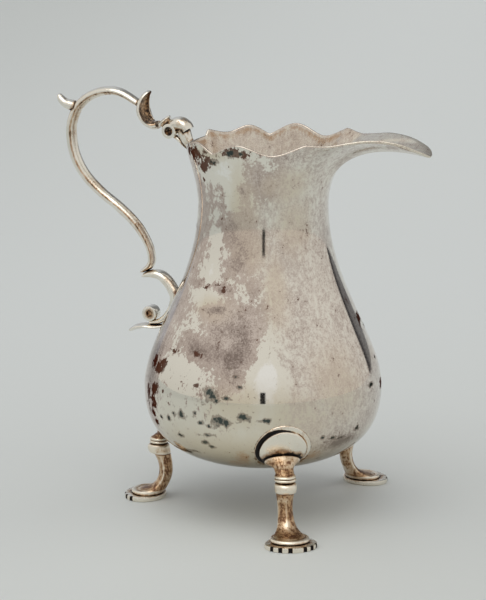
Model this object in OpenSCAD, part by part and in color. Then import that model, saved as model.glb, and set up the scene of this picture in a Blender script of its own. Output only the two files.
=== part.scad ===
// Cream jug: a raised silver vessel with a drawn spout, a cast scroll handle and three cast legs on pad feet.
// Millimetres. +Z is up, +X points to the spout and -X to the handle. The feet stand on z = 0, and the
// origin is the middle of the jug's outline on the table.

/* [Body] */
// Radius of the belly at its widest
belly_r = 31; // [30:0.5:32]
// Height of the belly's widest line above the table
belly_z = 34; // [33.5:0.5:35]
// Height of the belly's underside above the table
base_z = 13; // [12.5:0.25:13.5]
// Radius of the neck at its narrowest
neck_r = 16.9; // [16.5:0.1:17.5]
// Height of the neck's narrowest line
neck_z = 81; // [80:0.5:82]
// Thickness of the sheet that the body is raised from
wall = 0.7; // [0.6:0.05:0.9]

/* [Lip and spout] */
// Radius of the rim away from the spout
rim_r = 20; // [19.5:0.1:20.5]
// Reach of the spout's tip from the body's axis
spout_reach = 45.7; // [44:0.5:47]

/* [Handle] */
// Reach of the handle's spur from the body's axis
handle_reach = 59.2; // [59:0.1:60]

/* [Legs] */
// Angle of the first leg from the spout
leg_turn = -56.5; // [-60:0.5:-52]
// Radius of the raised discs that the legs are soldered to
disc_r = 6.1; // [5.5:0.1:6.5]
// Thickness of the discs
disc_t = 1.0; // [0.8:0.1:1.2]
// Radius of the thin flange round a disc
flange_r = 7.3; // [6.8:0.1:7.5]
// Thickness of the flange
flange_t = 0.3; // [0.2:0.05:0.4]
// Half of a foot pad across
pad_half_w = 6.7; // [6.4:0.1:7]
// Half of a foot pad from heel to toe
pad_half_l = 5.4; // [5.3:0.1:6.2]
// Thickness of a foot pad
pad_t = 1.3; // [1.2:0.1:1.4]

/* [Hidden] */

silver = [0.80, 0.79, 0.75];
cast_silver = [0.76, 0.71, 0.62];
bright_silver = [0.85, 0.83, 0.78];

// Clearance left at a soldered seam
seam = 0.02;

// Each leg: its turn from the first leg, and the reach of its pad's centre (set by eye, so they differ)
FRONT = [0, 38.9];
SIDE = [121.5, 37.5];
REAR = [243.5, 32.6];
// The reach that the leg's own outline is drawn for
drawn_reach = 33;
// Share of the extra reach that a leg loses for each millimetre of height
reach_fade = 0.0375;

// The body's axis, placed so that the origin is the middle of the outline
function pad_edge_y(leg) =
    let (a = leg_turn + leg[0])
    leg[1] * sin(a) + sign(sin(a)) * norm([pad_half_l * sin(a), pad_half_w * cos(a)]);
axis_x = (handle_reach - spout_reach) / 2;
axis_y = -(pad_edge_y(FRONT) + pad_edge_y(SIDE)) / 2;

// ---------- curves and skins ----------

function at(list, i) = list[max(0, min(len(list) - 1, i))];

// One point of a smooth curve through p1 and p2
function between(p0, p1, p2, p3, t) =
    0.5 * (2 * p1 + (p2 - p0) * t + (2 * p0 - 5 * p1 + 4 * p2 - p3) * t * t
        + (3 * p1 - p0 - 3 * p2 + p3) * t * t * t);

// A smooth curve through a list of points, with steps pieces between two of them
function smooth(keys, steps) = [
    for (i = [0 : len(keys) - 2], j = [0 : steps - 1])
        between(at(keys, i - 1), keys[i], keys[i + 1], at(keys, i + 2), j / steps),
    keys[len(keys) - 1]
];

// Faces of a skin over rings of the same number of points, closed by its two end rings
function skin_faces(rings, sides) = concat(
    [[for (s = [0 : sides - 1]) s]],
    [
        for (i = [0 : rings - 2], s = [0 : sides - 1], half = [0, 1])
            let (
                a = i * sides + s,
                b = i * sides + (s + 1) % sides,
                c = b + sides,
                d = a + sides
            )
            half == 0 ? [a, d, c] : [a, c, b]
    ],
    [[for (s = [sides - 1 : -1 : 0]) (rings - 1) * sides + s]]
);

module skin(rings) {
    sides = len(rings[0]);
    polyhedron(points = [for (ring = rings) each ring], faces = skin_faces(len(rings), sides));
}

// Sections for the handle's bars: across the bar is v, and towards its outer side is u
round_section = [for (a = [0 : 30 : 330]) [cos(a), sin(a)]];
scoop_section = concat(
    [for (a = [180 : -20 : 0]) [sin(a), cos(a)]],
    [for (a = [0 : 20 : 180]) [0.35 * sin(a) - 0.05, 0.8 * cos(a)]]
);

// A bar along the keys [distance from the axis, height, thickness, width], in the handle's plane
module bar(keys, steps, section) {
    path = smooth(keys, steps);
    skin([
        for (i = [0 : len(path) - 1])
            let (
                ahead = at(path, i + 1) - at(path, i - 1),
                run = norm([ahead[0], ahead[1]]),
                u = [-ahead[1] / run, ahead[0] / run],
                p = path[i]
            )
            [for (q = section) [
                -p[0] - u[0] * q[0] * p[2] / 2,
                q[1] * p[3] / 2,
                p[1] + u[1] * q[0] * p[2] / 2
            ]]
    ]);
}

// Puts a child in the frame of the body's axis
module on_axis() {
    translate([axis_x, axis_y, 0])
        children();
}

// Puts a child on a leg's own radius, with +X outwards
module at_leg(leg) {
    on_axis()
        rotate([0, 0, leg_turn + leg[0]])
            children();
}

// ---------- body ----------

// The belly's underside is a squared-off quarter round, and its shoulder falls to the neck like half a wave
under_power = 2.64;
shoulder_lean = 0.815;
function under(a) = [
    belly_r * pow(sin(a), 2 / under_power),
    belly_z - (belly_z - base_z) * pow(cos(a), 2 / under_power)
];
function shoulder(t) = [
    neck_r + (belly_r - neck_r) * (1 + cos(180 * pow(t, shoulder_lean))) / 2,
    belly_z + (neck_z - belly_z) * t
];
belly_line = concat(
    [for (a = [0, 1, 3, 6, 10, 16, 24, 32, 40, 50, 60, 68, 76, 82, 87]) under(a)],
    [for (i = [0 : 20]) shoulder(i / 20)]
);

// The belly's line moved outwards by d (inwards if d is negative)
function moved_line(d) = [
    for (i = [0 : len(belly_line) - 1])
        let (
            ahead = at(belly_line, i + 1) - at(belly_line, i - 1),
            run = norm(ahead),
            p = belly_line[i]
        )
        i == 0 ? [0, p[1] - d] : p + d * [ahead[1], -ahead[0]] / run
];

// The space that the belly would fill if it were grown by d
module belly_solid(d) {
    line = moved_line(d);
    rotate_extrude($fn = 96)
        polygon(concat(line, [[0, line[len(line) - 1][1]]]));
}

module belly_wall() {
    line = moved_line(-wall);
    rotate_extrude($fn = 96)
        polygon(concat(belly_line, [for (i = [len(line) - 1 : -1 : 0]) line[i]]));
}

// The cut rim on each side, from the spout's tip round to the handle: angle, radius, height, and 1 at a sharp
// corner. It was cut by hand, so the two sides differ a little.
left_rim = [
    [0, spout_reach, 95.7, 0],
    [4.8, spout_reach - 1.6, 97.1, 0],
    [8.3, spout_reach - 6.3, 99, 0],
    [12.8, spout_reach - 11.9, 99.7, 0],
    [18, 29.2, 99.2, 0],
    [27, 25.9, 98.7, 0],
    [38.5, 23.2, 99.6, 1],
    [60.4, rim_r + 0.5, 96.8, 0],
    [87, rim_r, 99.3, 0],
    [108, rim_r - 0.4, 96.2, 1],
    [123.5, rim_r, 98.6, 0],
    [141, rim_r + 0.2, 97, 0],
    [161, rim_r - 0.1, 98.4, 1],
    [164, rim_r - 0.2, 96.7, 1],
    [180, rim_r - 0.2, 96.4, 0]
];
right_rim = [
    [0, spout_reach, 95.7, 0],
    [4.8, spout_reach - 1.6, 97.1, 0],
    [8.3, spout_reach - 6.3, 99, 0],
    [12.8, spout_reach - 11.9, 99.7, 0],
    [18, 29.2, 99.2, 0],
    [27, 25.9, 98.6, 0],
    [39.3, 23.1, 99, 1],
    [60.4, rim_r + 0.5, 96.5, 0],
    [87, rim_r, 98.9, 0],
    [108, rim_r - 0.4, 96.1, 1],
    [123.5, rim_r, 98.4, 0],
    [141, rim_r + 0.1, 97.6, 0],
    [160, rim_r - 0.1, 96.5, 0],
    [180, rim_r - 0.2, 96.4, 0]
];

function secant(keys, i, j, c) = (keys[j][c] - keys[i][c]) / (keys[j][0] - keys[i][0]);
function rim_slope(keys, i, toward, c) =
    i == 0 || i == len(keys) - 1 ? 0
    : keys[i][3] == 1 ? (toward > 0 ? secant(keys, i, i + 1, c) : secant(keys, i - 1, i, c))
    : secant(keys, i - 1, i + 1, c);

// The rim's radius (c = 1) or height (c = 2) at angle a from the spout, up to 360
function rim(a, c) =
    let (
        keys = a <= 180 ? left_rim : right_rim,
        fold = min(a, 360 - a),
        i = max([for (k = [0 : len(keys) - 2]) keys[k][0] <= fold ? k : 0]),
        span = keys[i + 1][0] - keys[i][0],
        t = (fold - keys[i][0]) / span,
        m0 = rim_slope(keys, i, 1, c) * span,
        m1 = rim_slope(keys, i + 1, -1, c) * span
    )
    (2 * t * t * t - 3 * t * t + 1) * keys[i][c] + (t * t * t - 2 * t * t + t) * m0
        + (3 * t * t - 2 * t * t * t) * keys[i + 1][c] + (t * t * t - t * t) * m1;

// The lip's outer line at one angle, from the neck (v = 0) to the rim (v = 1)
function lip_point(a, v) =
    let (
        r = rim(a, 1),
        z = rim(a, 2),
        drawn = max(0, r - rim_r) / (spout_reach - rim_r),
        p0 = [neck_r, neck_z],
        p1 = [neck_r + 0.1, neck_z + 7 + 2.5 * drawn],
        p2 = [r - 1 - 0.8 * max(0, r - rim_r), z - 6 + 10 * pow(drawn, 1.5)],
        p3 = [r, z],
        w = 1 - v
    )
    w * w * w * p0 + 3 * w * w * v * p1 + 3 * w * v * v * p2 + v * v * v * p3;

function lip_inner(a, v) =
    let (d = lip_point(a, v + 0.01) - lip_point(a, v - 0.01))
    lip_point(a, v) + wall * [-d[1], d[0]] / norm(d);

// Angles round the lip, closer together at the spout
lip_sides = 96;
lip_crowding = 20;
lip_rows = 11;
lip_start = 0.02;
skirt = 0.15;
function lip_angle(i) = 360 * i / lip_sides - lip_crowding * sin(360 * i / lip_sides);
function lip_rings() =
    let (
        rows = [for (k = [0 : lip_rows]) lip_start + (1 - lip_start) * k / lip_rows]
    )
    [
        for (i = [0 : lip_sides - 1])
            let (
                a = lip_angle(i),
                line = concat(
                    [[neck_r - skirt, neck_z - 0.5]],
                    [for (v = rows) lip_point(a, v)],
                    [for (k = [lip_rows : -1 : 0]) lip_inner(a, rows[k])],
                    [[neck_r - wall + skirt, neck_z - 0.5]]
                )
            )
            [for (p = line) [p[0] * cos(a), p[0] * sin(a), p[1]]]
    ];

module lip() {
    rings = lip_rings();
    n = len(rings[0]);
    polyhedron(
        points = [for (ring = rings) each ring],
        faces = [
            for (i = [0 : lip_sides - 1], k = [0 : n - 1], half = [0, 1])
                let (
                    a = i * n + k,
                    b = i * n + (k + 1) % n,
                    c = ((i + 1) % lip_sides) * n + (k + 1) % n,
                    d = ((i + 1) % lip_sides) * n + k
                )
                half == 0 ? [a, b, c] : [a, c, d]
        ]
    );
}

module body_shell() {
    color(silver)
        on_axis() {
            belly_wall();
            lip();
        }
}

// ---------- legs ----------

// Centre of a leg's disc on the belly, and the tilt of the belly's surface there
disc_centre = [28.3, 22.3];
disc_tilt = 35;

// A round patch of radius r that follows the belly's surface up to t above it
module belly_patch(r, t) {
    intersection() {
        translate([disc_centre[0], 0, disc_centre[1]])
            rotate([0, 90 + disc_tilt, 0])
                cylinder(r = r, h = 12, center = true, $fn = 64);
        belly_solid(t);
    }
}

module leg_disc(leg) {
    color(silver)
        at_leg(leg)
            difference() {
                union() {
                    belly_patch(disc_r, disc_t);
                    belly_patch(flange_r, flange_t);
                }
                belly_solid(seam);
            }
}

// A level ring from its height, inner and outer reach, width across, and power (2 is an oval, less is a
// rounded diamond)
leg_sides = 20;
function bent(x, power) = sign(x) * pow(abs(x), 2 / power);
function oval(key) = [
    for (s = [0 : leg_sides - 1])
        let (a = 360 * s / leg_sides)
        [
            (key[1] + key[2]) / 2 + (key[2] - key[1]) / 2 * bent(cos(a), key[4]),
            key[3] / 2 * bent(sin(a), key[4]),
            key[0]
        ]
];
function reached(key, leg) =
    let (out = (leg[1] - drawn_reach) * (1 - reach_fade * key[0]))
    [key[0], key[1] + out, key[2] + out, key[3], key[4]];

// The collar's lower end is level (keys as the leg's), and its flared top lies along the disc
collar_keys = [
    [14.9, 26.9, 30.9, 4.2, 2],
    [15.4, 26.6, 31.1, 4.9, 2],
    [15.7, 26.3, 31.4, 5.6, 2],
    [16.8, 26.0, 31.3, 5.7, 2],
    [17.4, 25.7, 30.4, 5.5, 2],
    [17.9, 25.2, 29.2, 5.3, 2]
];
flare_centre = [26.8, 18.5];
flare_half = [2.6, 4.5];
flare_steps = 5;
// How far the flare's edge runs on into the disc before it is cut to it
flare_run = 3;

// The flare grows from the collar's level top ring (t = 0) to its edge (t = 1), then runs on inwards by run
function flare_ring(leg, t, run = 0) =
    let (
        low = oval(reached(collar_keys[len(collar_keys) - 1], leg)),
        out = (leg[1] - drawn_reach) * 0.25,
        grow = pow(t, 1.6)
    )
    [
        for (s = [0 : leg_sides - 1])
            let (
                a = 360 * s / leg_sides,
                top = [
                    flare_centre[0] + out + flare_half[0] * cos(a) * sin(disc_tilt) - run * cos(disc_tilt),
                    flare_half[1] * sin(a),
                    flare_centre[1] + flare_half[0] * cos(a) * cos(disc_tilt) + run * sin(disc_tilt)
                ]
            )
            [
                low[s][0] + (top[0] - low[s][0]) * grow,
                low[s][1] + (top[1] - low[s][1]) * grow,
                low[s][2] + (top[2] - low[s][2]) * t
            ]
    ];

module leg_collar(leg) {
    color(cast_silver)
        at_leg(leg)
            difference() {
                skin(concat(
                    [for (key = collar_keys) oval(reached(key, leg))],
                    [for (k = [1 : flare_steps]) flare_ring(leg, k / flare_steps)],
                    [flare_ring(leg, 1, flare_run)]
                ));
                belly_solid(disc_t + seam);
            }
}

// The leg from its ledge up to its lip: height, inner and outer reach, width across, power
leg_keys = [
    [1.35, 27.9, 36.6, 10, 2],
    [1.9, 27.8, 36.4, 9.8, 2],
    [2.3, 27.4, 34.6, 8.2, 1.9],
    [3.0, 27.0, 32.2, 6.2, 1.8],
    [4.0, 26.4, 30.5, 4.9, 1.6],
    [5.6, 25.7, 29.4, 4.3, 1.5],
    [7.4, 25.3, 29.0, 4.0, 1.5],
    [9.2, 25.3, 29.1, 4.1, 1.5],
    [10.8, 25.5, 29.7, 4.6, 1.6],
    [12.2, 25.8, 30.5, 5.2, 1.8],
    [13.2, 26.1, 31.4, 5.4, 2],
    [14.1, 26.3, 31.9, 5.4, 2],
    [14.85, 26.4, 31.5, 5.2, 2]
];

module leg_shaft(leg) {
    color(cast_silver)
        at_leg(leg)
            skin([for (key = smooth(leg_keys, 2)) oval(reached(key, leg))]);
}

// Filed notches across a pad's toe: distance from its middle line
notch_places = [-5.5, -3.6, -1.1, 2.8, 4.7, 6.2];
notch_r = 0.42;

module foot_pad(leg) {
    color(bright_silver)
        at_leg(leg)
            translate([leg[1], 0, 0])
                difference() {
                    linear_extrude(height = pad_t)
                        polygon([for (a = [0 : 7.5 : 352.5]) [pad_half_l * cos(a), pad_half_w * sin(a)]]);
                    for (y = notch_places)
                        translate([pad_half_l * sqrt(max(0, 1 - pow(y / pad_half_w, 2))), y, -1])
                            cylinder(r = notch_r, h = pad_t + 2, $fn = 16);
                }
}

// ---------- handle ----------

main_keys = [
    [35.3, 105.0, 1.9, 3.2],
    [40.3, 107.5, 2.3, 3.6],
    [44.6, 107.9, 2.3, 3.7],
    [49.3, 106.4, 2.4, 3.6],
    [53.1, 103.2, 2.6, 3.6],
    [55.0, 98.8, 2.7, 3.6],
    [55.1, 94.4, 2.8, 3.7],
    [53.9, 89.5, 2.8, 3.8],
    [51.2, 85.1, 2.7, 3.8],
    [46.8, 81.0, 2.6, 3.7],
    [40.7, 76.7, 2.6, 3.5],
    [36.1, 72.6, 2.5, 3.4],
    [33.0, 68.0, 2.2, 3.3],
    [31.9, 64.4, 2.0, 3.3],
    [32.4, 62.1, 1.8, 3.6],
    [34.8, 60.3, 0.9, 3.6]
];

module handle_main_scroll() {
    color(bright_silver)
        on_axis()
            bar(main_keys, 3, round_section);
}

module handle_spur() {
    color(bright_silver)
        on_axis()
            bar([
                [55.0, 103.5, 2.7, 3.3],
                [57.0, 104.0, 2.4, 3.0],
                [58.2, 105.0, 1.9, 2.5],
                [handle_reach - 0.35, 106.2, 1.0, 1.4]
            ], 3, round_section);
}

module handle_leaf() {
    color(bright_silver)
        on_axis()
            bar([
                [32.0, 108.5, 0.6, 1.2],
                [33.3, 107.1, 1.5, 4.2],
                [34.1, 105.2, 2.0, 6.6],
                [34.1, 103.1, 2.2, 7.6],
                [32.9, 100.9, 2.4, 6.8],
                [31.1, 99.8, 2.4, 5.0],
                [29.8, 99.9, 2.0, 3.6]
            ], 3, scoop_section);
}

collar_centre = [27.8, 100.5];
collar_lean = 137;
module handle_collar() {
    color(bright_silver)
        on_axis()
            translate([-collar_centre[0], 0, collar_centre[1]])
                rotate([0, collar_lean, 0])
                    cylinder(r = 2.1, h = 1.2, center = true, $fn = 48);
}

// The rolled eye of the knuckle and the arch that runs over to the bracket
eye_centre = [25.9, 98.5];
eye_r = 1.95;
eye_recess = 0.8;
module handle_knuckle() {
    color(bright_silver)
        on_axis()
            union() {
                translate([-eye_centre[0], 0, eye_centre[1]])
                    rotate([90, 0, 0])
                        difference() {
                            cylinder(r = eye_r, h = 4.6, center = true, $fn = 48);
                            for (side = [-1, 1])
                                translate([0, 0, side * 2.3])
                                    cylinder(r = 1.1, h = 2 * eye_recess, center = true, $fn = 32);
                        }
                bar([
                    [26.4, 99.2, 2.0, 4.2],
                    [25.4, 100.1, 2.8, 4.4],
                    [24.3, 100.6, 3.0, 4.6],
                    [23.1, 100.6, 3.0, 4.6],
                    [21.9, 99.9, 2.4, 4.4]
                ], 3, round_section);
            }
}

module handle_rim_bracket() {
    color(bright_silver)
        on_axis()
            bar([
                [22.5, 98.9, 2.6, 4.0],
                [22.1, 97.7, 2.8, 3.9],
                [21.4, 96.3, 2.4, 3.4],
                [20.1, 94.5, 1.3, 2.6]
            ], 3, round_section);
}

module handle_rim_strut() {
    color(bright_silver)
        on_axis()
            bar([
                [24.9, 96.8, 1.0, 1.5],
                [23.4, 95.7, 1.0, 1.5],
                [22.0, 94.6, 1.0, 1.5],
                [20.6, 93.7, 0.8, 1.5],
                [19.4, 93.0, 0.6, 1.4]
            ], 2, round_section);
}

roll_centre = [32.2, 49.3];
roll_r = 2.0;
module handle_lower_scroll() {
    color(bright_silver)
        on_axis()
            union() {
                difference() {
                    bar([
                        [34.3, 59.2, 1.0, 3.8],
                        [32.2, 59.9, 2.0, 4.0],
                        [29.3, 59.7, 2.6, 4.1],
                        [26.8, 57.6, 2.8, 4.1],
                        [25.2, 54.7, 2.8, 4.0],
                        [25.6, 52.0, 2.4, 3.7],
                        [27.3, 49.2, 1.9, 3.4],
                        [29.6, 47.4, 1.4, 3.2],
                        [32.2, 46.9, 1.0, 3.1]
                    ], 3, round_section);
                    belly_solid(seam);
                }
                translate([-roll_centre[0], 0, roll_centre[1]])
                    rotate([90, 0, 0])
                        difference() {
                            cylinder(r = roll_r, h = 3.2, center = true, $fn = 48);
                            for (side = [-1, 1])
                                translate([0, 0, side * 1.6])
                                    cylinder(r = 0.8, h = 1.4, center = true, $fn = 32);
                        }
            }
}

module handle_tail_leaf() {
    color(bright_silver)
        on_axis()
            difference() {
                bar([
                    [27.4, 46.3, 1.0, 3.0],
                    [31.0, 45.75, 1.2, 4.2],
                    [33.8, 45.8, 1.3, 5.0],
                    [36.4, 45.2, 1.3, 4.2],
                    [38.6, 44.0, 0.8, 1.6]
                ], 3, round_section);
                belly_solid(seam);
            }
}

body_shell();
leg_disc(FRONT);  // front_leg_disc
leg_collar(FRONT);  // front_leg_collar
leg_shaft(FRONT);  // front_leg
foot_pad(FRONT);  // front_foot_pad
leg_disc(SIDE);  // side_leg_disc
leg_collar(SIDE);  // side_leg_collar
leg_shaft(SIDE);  // side_leg
foot_pad(SIDE);  // side_foot_pad
leg_disc(REAR);  // rear_leg_disc
leg_collar(REAR);  // rear_leg_collar
leg_shaft(REAR);  // rear_leg
foot_pad(REAR);  // rear_foot_pad
handle_main_scroll();
handle_spur();
handle_leaf();
handle_collar();
handle_knuckle();
handle_rim_bracket();
handle_rim_strut();
handle_lower_scroll();
handle_tail_leaf();
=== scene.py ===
import math

import bpy
import numpy as np
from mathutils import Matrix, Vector
from mathutils.bvhtree import BVHTree


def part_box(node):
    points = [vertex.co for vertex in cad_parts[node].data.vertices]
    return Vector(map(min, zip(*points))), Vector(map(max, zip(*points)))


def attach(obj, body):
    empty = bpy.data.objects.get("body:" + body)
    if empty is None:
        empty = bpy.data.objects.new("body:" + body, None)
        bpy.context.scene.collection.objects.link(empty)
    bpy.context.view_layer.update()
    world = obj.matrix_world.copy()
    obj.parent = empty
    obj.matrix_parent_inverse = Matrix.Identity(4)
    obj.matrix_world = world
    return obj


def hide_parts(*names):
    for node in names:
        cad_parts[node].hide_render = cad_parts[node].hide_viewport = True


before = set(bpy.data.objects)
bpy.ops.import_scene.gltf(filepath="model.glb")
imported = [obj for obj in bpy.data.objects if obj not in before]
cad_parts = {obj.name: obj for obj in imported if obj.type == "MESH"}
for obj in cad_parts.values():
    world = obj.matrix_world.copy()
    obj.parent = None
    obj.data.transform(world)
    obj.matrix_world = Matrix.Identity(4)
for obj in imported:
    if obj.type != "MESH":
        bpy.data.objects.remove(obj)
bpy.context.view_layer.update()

MM = 0.001

# Driving dimensions of the body, as in the design
BELLY_R, BELLY_Z, BASE_Z = 31.0, 34.0, 13.0
NECK_R, NECK_Z = 16.9, 81.0
WALL = 0.7
RIM_R, SPOUT_REACH = 20.0, 45.7
UNDER_POWER, SHOULDER_LEAN = 2.64, 0.815

# Legs: name, turn from the first leg, reach of the pad's centre
LEG_TURN = -56.5
LEGS = [("front", 0.0, 38.9), ("side", 121.5, 37.5), ("rear", 243.5, 32.6)]
DRAWN_REACH, REACH_FADE = 33.0, 0.0375
DISC_CENTRE, DISC_TILT = (28.3, 22.3), 35.0
DISC_R, DISC_T, FLANGE_R, FLANGE_T = 6.1, 1.0, 7.3, 0.3

# The body's axis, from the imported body's own box
shell_low, shell_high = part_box("body_shell")
AXIS = (shell_low.x / MM + BELLY_R, (shell_low.y + shell_high.y) / 2 / MM)


# ---------- small tools ----------

def place(points):
    """Points in millimetres about the body's axis, as metres in the part's frame."""
    return (np.asarray(points, float) + [AXIS[0], AXIS[1], 0]) * MM


def turned(points, degrees):
    """Points turned about the body's axis."""
    a = math.radians(degrees)
    x, y, z = np.moveaxis(np.asarray(points, float), -1, 0)
    return np.stack([x * math.cos(a) - y * math.sin(a), x * math.sin(a) + y * math.cos(a), z], -1)


def smoothstep(low, high, x):
    t = np.clip((np.asarray(x, float) - low) / (high - low), 0, 1)
    return t * t * (3 - 2 * t)


def joined(*parts):
    """Numbers or arrays as one array of points."""
    return np.stack(np.broadcast_arrays(*parts), -1)


def circle(sides):
    """The angles of a ring's points."""
    return np.linspace(0, 2 * math.pi, sides, endpoint=False)


def catmull(keys, steps):
    """A smooth curve through the keys, with steps pieces between two of them."""
    keys = np.asarray(keys, float)
    padded = np.vstack([keys[0], keys, keys[-1]])
    rows = []
    for i in range(len(keys) - 1):
        p0, p1, p2, p3 = padded[i:i + 4]
        for t in np.arange(steps) / steps:
            rows.append(0.5 * (2 * p1 + (p2 - p0) * t + (2 * p0 - 5 * p1 + 4 * p2 - p3) * t ** 2
                               + (3 * p1 - p0 - 3 * p2 + p3) * t ** 3))
    return np.array(rows + [keys[-1]])


def along(line, spacing):
    """A line resampled, with the spacing between points given at each of its own points."""
    run = np.r_[0, np.cumsum(np.linalg.norm(np.diff(line, axis=0), axis=1) / spacing[1:])]
    count = int(round(run[-1])) + 1
    at = np.linspace(0, run[-1], count)
    return np.stack([np.interp(at, run, line[:, c]) for c in range(line.shape[1])], -1)


def add_object(name, data):
    obj = bpy.data.objects.new(name, data)
    bpy.context.scene.collection.objects.link(obj)
    return obj


def make_object(points, faces):
    """An object with smooth faces. Every piece gets its name at the end."""
    mesh = bpy.data.meshes.new("piece")
    mesh.from_pydata([tuple(p) for p in place(points)], [], faces)
    mesh.shade_smooth()
    return add_object("piece", mesh)


def grid_faces(rings, sides):
    """Faces of a skin over rings of the same number of points."""
    faces = []
    for i in range(rings - 1):
        a = i * sides
        for s in range(sides):
            t = (s + 1) % sides
            faces.append((a + s, a + t, a + sides + t, a + sides + s))
    return faces


def closed_faces(rings, sides):
    """The same with a fan at each end, round the two points that come after the rings'."""
    faces = grid_faces(rings, sides)
    first, top = rings * sides, (rings - 1) * sides
    for s in range(sides):
        t = (s + 1) % sides
        faces += [(first, t, s), (first + 1, top + s, top + t)]
    return faces


def skin(rings, sharp=None):
    """A closed skin over rings, each end closed by a fan round its middle, with edges past sharp degrees."""
    rings = np.asarray(rings, float)
    points = np.vstack([rings.reshape(-1, 3), rings[0].mean(0), rings[-1].mean(0)])
    obj = make_object(points, closed_faces(*rings.shape[:2]))
    outward(obj)
    if sharp:
        obj.data.set_sharp_from_angle(angle=math.radians(sharp))
    return obj


def triangles(obj):
    """A mesh's points, and the corners of its triangles."""
    mesh = obj.data
    mesh.calc_loop_triangles()
    return (np.array([v.co for v in mesh.vertices], float),
            np.array([t.vertices[:] for t in mesh.loop_triangles]))


def outward(obj):
    """Turns a closed mesh's faces outwards."""
    co, tri = triangles(obj)
    a, b, c = co[tri[:, 0]], co[tri[:, 1]], co[tri[:, 2]]
    if np.einsum("ij,ij->i", a, np.cross(b, c)).sum() < 0:
        obj.data.flip_normals()


# Edges past this angle, in degrees, stay sharp after a boolean
BOOLEAN_SHARP = 35


def combine(obj, tools, operation):
    """obj after a boolean with each tool. The tools go."""
    for tool in tools:
        modifier = obj.modifiers.new("boolean", "BOOLEAN")
        modifier.operation = operation
        modifier.solver = "EXACT"
        modifier.object = tool
    graph = bpy.context.evaluated_depsgraph_get()
    mesh = bpy.data.meshes.new_from_object(obj.evaluated_get(graph), depsgraph=graph)
    obj.modifiers.clear()
    obj.data = mesh
    mesh.shade_smooth()
    mesh.set_sharp_from_angle(angle=math.radians(BOOLEAN_SHARP))
    for tool in tools:
        bpy.data.objects.remove(tool)
    return obj


# ---------- the body's curves ----------

def under(degrees):
    a = np.radians(np.asarray(degrees, float))
    return joined(BELLY_R * np.sin(a) ** (2 / UNDER_POWER),
                  BELLY_Z - (BELLY_Z - BASE_Z) * np.cos(a) ** (2 / UNDER_POWER))


def shoulder(t):
    t = np.asarray(t, float)
    return joined(NECK_R + (BELLY_R - NECK_R) * (1 + np.cos(np.pi * t ** SHOULDER_LEAN)) / 2,
                  BELLY_Z + (NECK_Z - BELLY_Z) * t)


def normals_2d(line):
    """Outward normals of a line in (radius, height) that runs upwards."""
    step = np.gradient(line, axis=0)
    step /= np.linalg.norm(step, axis=1, keepdims=True)
    return joined(step[:, 1], -step[:, 0])


BELLY_LINE = np.vstack([under(np.linspace(0, 90, 400))[:-1], shoulder(np.linspace(0, 1, 400))])


def belly_radius(z):
    return np.interp(z, BELLY_LINE[:, 1], BELLY_LINE[:, 0])


# The cut rim on each side, from the spout's tip round to the handle: angle, radius, height, and 1 at a sharp
# corner. It was cut by hand, so the two sides differ a little.
SPOUT_RIM = [
    (0, SPOUT_REACH, 95.7, 0), (4.8, SPOUT_REACH - 1.6, 97.1, 0), (8.3, SPOUT_REACH - 6.3, 99, 0),
    (12.8, SPOUT_REACH - 11.9, 99.7, 0), (18, 29.2, 99.2, 0),
]
LEFT_RIM = SPOUT_RIM + [
    (27, 25.9, 98.7, 0), (38.5, 23.2, 99.6, 1), (60.4, RIM_R + 0.5, 96.8, 0), (87, RIM_R, 99.3, 0),
    (108, RIM_R - 0.4, 96.2, 1), (123.5, RIM_R, 98.6, 0), (141, RIM_R + 0.2, 97, 0),
    (161, RIM_R - 0.1, 98.4, 1), (164, RIM_R - 0.2, 96.7, 1), (180, RIM_R - 0.2, 96.4, 0),
]
RIGHT_RIM = SPOUT_RIM + [
    (27, 25.9, 98.6, 0), (39.3, 23.1, 99, 1), (60.4, RIM_R + 0.5, 96.5, 0), (87, RIM_R, 98.9, 0),
    (108, RIM_R - 0.4, 96.1, 1), (123.5, RIM_R, 98.4, 0), (141, RIM_R + 0.1, 97.6, 0),
    (160, RIM_R - 0.1, 96.5, 0), (180, RIM_R - 0.2, 96.4, 0),
]


def rim(degrees):
    """Radius and height of the rim at angles from 0 to 360 from the spout."""
    result = np.zeros((len(degrees), 2))
    for row, a in enumerate(degrees):
        keys = np.array(LEFT_RIM if a <= 180 else RIGHT_RIM, float)
        fold = min(a, 360 - a)
        i = max(k for k in range(len(keys) - 1) if keys[k, 0] <= fold + 1e-9)

        def slope(k):
            if k in (0, len(keys) - 1):
                return np.zeros(2)
            m, n = (i, i + 1) if keys[k, 3] else (k - 1, k + 1)
            return (keys[n, 1:3] - keys[m, 1:3]) / (keys[n, 0] - keys[m, 0])

        span = keys[i + 1, 0] - keys[i, 0]
        t = (fold - keys[i, 0]) / span
        blend = 3 * t * t - 2 * t ** 3
        result[row] = ((1 - blend) * keys[i, 1:3] + blend * keys[i + 1, 1:3]
                       + (t ** 3 - 2 * t * t + t) * span * slope(i) + (t ** 3 - t * t) * span * slope(i + 1))
    return result


def lip_lines(degrees, v):
    """The lip's outer line at each angle, as (angles, len(v), 2) of radius and height."""
    edge = rim(degrees)
    r, z = edge[:, 0], edge[:, 1]
    beyond = np.maximum(0, r - RIM_R)
    drawn = beyond / (SPOUT_REACH - RIM_R)
    p0 = joined(NECK_R, NECK_Z + 0 * drawn)
    p1 = joined(NECK_R + 0.1, NECK_Z + 7 + 2.5 * drawn)
    p2 = joined(r - 1 - 0.8 * beyond, z - 6 + 10 * drawn ** 1.5)
    p3 = joined(r, z)
    v = np.asarray(v, float)[None, :, None]
    w = 1 - v
    p0, p1, p2, p3 = (p[:, None, :] for p in (p0, p1, p2, p3))
    return w ** 3 * p0 + 3 * w * w * v * p1 + 3 * w * v * v * p2 + v ** 3 * p3


# ---------- the body's mesh ----------

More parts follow.
